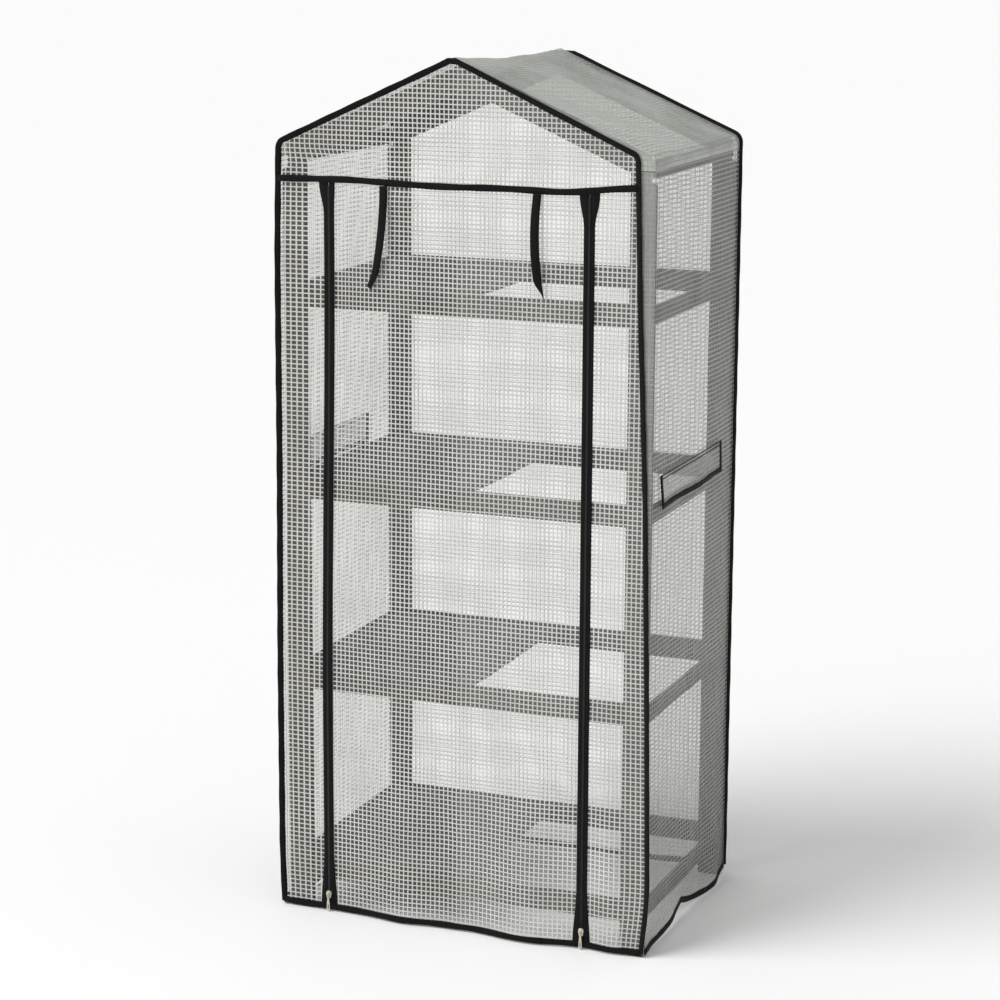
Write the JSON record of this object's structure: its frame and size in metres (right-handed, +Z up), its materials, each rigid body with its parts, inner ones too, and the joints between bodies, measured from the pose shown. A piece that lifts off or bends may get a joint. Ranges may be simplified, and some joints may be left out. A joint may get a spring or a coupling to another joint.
{
  "type": "mini pop up greenhouse",
  "caption": "Folding mini greenhouse: tiered frame of flat bars under a clear gabled cover with a zipped roll-up door and fold-in sides.",
  "frame": {"origin": "on the floor, in the middle of the footprint", "axes": "+X to the right seen from the door, +Y from the door to the back, +Z up"},
  "size_m": [0.6982, 0.4785, 1.56],
  "materials": {
    "bar": "dark olive grey powder coat, matt",
    "shelf_fabric": "dark grey woven panel, matt",
    "cover_fabric": "clear plastic sheet with a white woven grid, glossy",
    "binding": "black woven binding tape, matt",
    "zip_metal": "pale brass, satin"
  },
  "bodies": {
    "front_frame": {"front_left_upright": "bar", "front_right_upright": "bar", "front_left_rafter": "bar", "front_right_rafter": "bar", "front_rail_1": "bar", "front_rail_2": "bar", "front_rail_3": "bar", "front_rail_4": "bar", "cover_front": "cover_fabric", "cover_roof": "cover_fabric", "shelf_panel_1": "shelf_fabric", "shelf_panel_2": "shelf_fabric", "shelf_panel_3": "shelf_fabric", "shelf_panel_4": "shelf_fabric", "tie_left": "binding", "tie_right": "binding"},
    "left_front_rails": {"left_front_rail_1": "bar", "left_front_rail_2": "bar", "left_front_rail_3": "bar", "left_front_rail_4": "bar", "left_front_rail_eave": "bar", "cover_left_front": "cover_fabric"},
    "left_rear_rails": {"left_rear_rail_1": "bar", "left_rear_rail_2": "bar", "left_rear_rail_3": "bar", "left_rear_rail_4": "bar", "left_rear_rail_eave": "bar", "cover_left_rear": "cover_fabric"},
    "right_front_rails": {"right_front_rail_1": "bar", "right_front_rail_2": "bar", "right_front_rail_3": "bar", "right_front_rail_4": "bar", "right_front_rail_eave": "bar", "cover_right_front": "cover_fabric"},
    "right_rear_rails": {"right_rear_rail_1": "bar", "right_rear_rail_2": "bar", "right_rear_rail_3": "bar", "right_rear_rail_4": "bar", "right_rear_rail_eave": "bar", "cover_right_rear": "cover_fabric"},
    "back_frame": {"back_left_upright": "bar", "back_right_upright": "bar", "back_left_rafter": "bar", "back_right_rafter": "bar", "back_rail_1": "bar", "back_rail_2": "bar", "back_rail_3": "bar", "back_rail_4": "bar", "cover_back": "cover_fabric"},
    "door": {"door_panel": "cover_fabric", "door_hem": "binding"},
    "left_zip_slider": {"zip_slider_left": "zip_metal"},
    "left_zip_pull": {"zip_pull_left": "zip_metal"},
    "right_zip_slider": {"zip_slider_right": "zip_metal"},
    "right_zip_pull": {"zip_pull_right": "zip_metal"},
    "left_front_flap": {"flap_left_front": "cover_fabric"},
    "left_rear_flap": {"flap_left_rear": "cover_fabric"},
    "right_front_flap": {"flap_right_front": "cover_fabric"},
    "right_rear_flap": {"flap_right_rear": "cover_fabric"}
  },
  "joints": [
    {"name": "fold", "type": "hinge", "parent": "front_frame", "child": "left_front_rails", "pos_m": [-0.332, -0.214, 0.7], "axis": [0, 0, -1], "range_deg": [0, 85], "deforming": ["cover_roof", "shelf_panel_1", "shelf_panel_2", "shelf_panel_3", "shelf_panel_4"]},
    {"name": "left_middle_fold", "type": "hinge", "parent": "left_front_rails", "child": "left_rear_rails", "pos_m": [-0.352, 0, 0.7], "axis": [0, 0, -1], "range_deg": [-170, 0], "deforming": ["flap_left_front", "flap_left_rear"]},
    {"name": "left_rear_fold", "type": "hinge", "parent": "left_rear_rails", "child": "back_frame", "pos_m": [-0.332, 0.214, 0.7], "axis": [0, 0, -1], "range_deg": [0, 85]},
    {"name": "right_front_fold", "type": "hinge", "parent": "front_frame", "child": "right_front_rails", "pos_m": [0.332, -0.214, 0.7], "axis": [0, 0, 1], "range_deg": [0, 85]},
    {"name": "right_middle_fold", "type": "hinge", "parent": "right_front_rails", "child": "right_rear_rails", "pos_m": [0.352, 0, 0.7], "axis": [0, 0, 1], "range_deg": [-170, 0], "deforming": ["flap_right_front", "flap_right_rear"]},
    {"name": "door_roll", "type": "slide", "parent": "front_frame", "child": "door", "axis": [0, 0, -1], "range_m": [-1.2, 0], "deforming": ["door_panel"]},
    {"name": "left_zip_run", "type": "slide", "parent": "front_frame", "child": "left_zip_slider", "axis": [0, 0, -1], "range_m": [-1.2, 0]},
    {"name": "right_zip_run", "type": "slide", "parent": "front_frame", "child": "right_zip_slider", "axis": [0, 0, -1], "range_m": [-1.2, 0]},
    {"name": "left_pull_swing", "type": "hinge", "parent": "left_zip_slider", "child": "left_zip_pull", "pos_m": [-0.2645, -0.24225, 0.03425], "axis": [-1, 0, 0], "range_deg": [0, 150]},
    {"name": "right_pull_swing", "type": "hinge", "parent": "right_zip_slider", "child": "right_zip_pull", "pos_m": [0.2305, -0.24225, 0.03425], "axis": [-1, 0, 0], "range_deg": [0, 150]},
    {"name": "left_front_flap_lift", "type": "hinge", "parent": "left_front_rails", "child": "left_front_flap", "pos_m": [-0.3486, 0, 0.867], "axis": [0, -1, 0], "range_deg": [-110, 0]},
    {"name": "left_rear_flap_lift", "type": "hinge", "parent": "left_rear_rails", "child": "left_rear_flap", "pos_m": [-0.3486, 0, 0.867], "axis": [0, -1, 0], "range_deg": [-110, 0]},
    {"name": "right_front_flap_lift", "type": "hinge", "parent": "right_front_rails", "child": "right_front_flap", "pos_m": [0.3486, 0, 0.867], "axis": [0, 1, 0], "range_deg": [-110, 0]},
    {"name": "right_rear_flap_lift", "type": "hinge", "parent": "right_rear_rails", "child": "right_rear_flap", "pos_m": [0.3486, 0, 0.867], "axis": [0, 1, 0], "range_deg": [-110, 0]}
  ],
  "couplings": [
    {"joint": "left_middle_fold", "follows": "fold", "ratio": -2},
    {"joint": "left_rear_fold", "follows": "fold", "ratio": 1},
    {"joint": "right_front_fold", "follows": "fold", "ratio": 1},
    {"joint": "right_middle_fold", "follows": "fold", "ratio": -2},
    {"joint": "left_zip_run", "follows": "door_roll", "ratio": 1},
    {"joint": "right_zip_run", "follows": "door_roll", "ratio": 1},
    {"joint": "left_rear_flap_lift", "follows": "left_front_flap_lift", "ratio": 1},
    {"joint": "right_rear_flap_lift", "follows": "right_front_flap_lift", "ratio": 1}
  ]
}
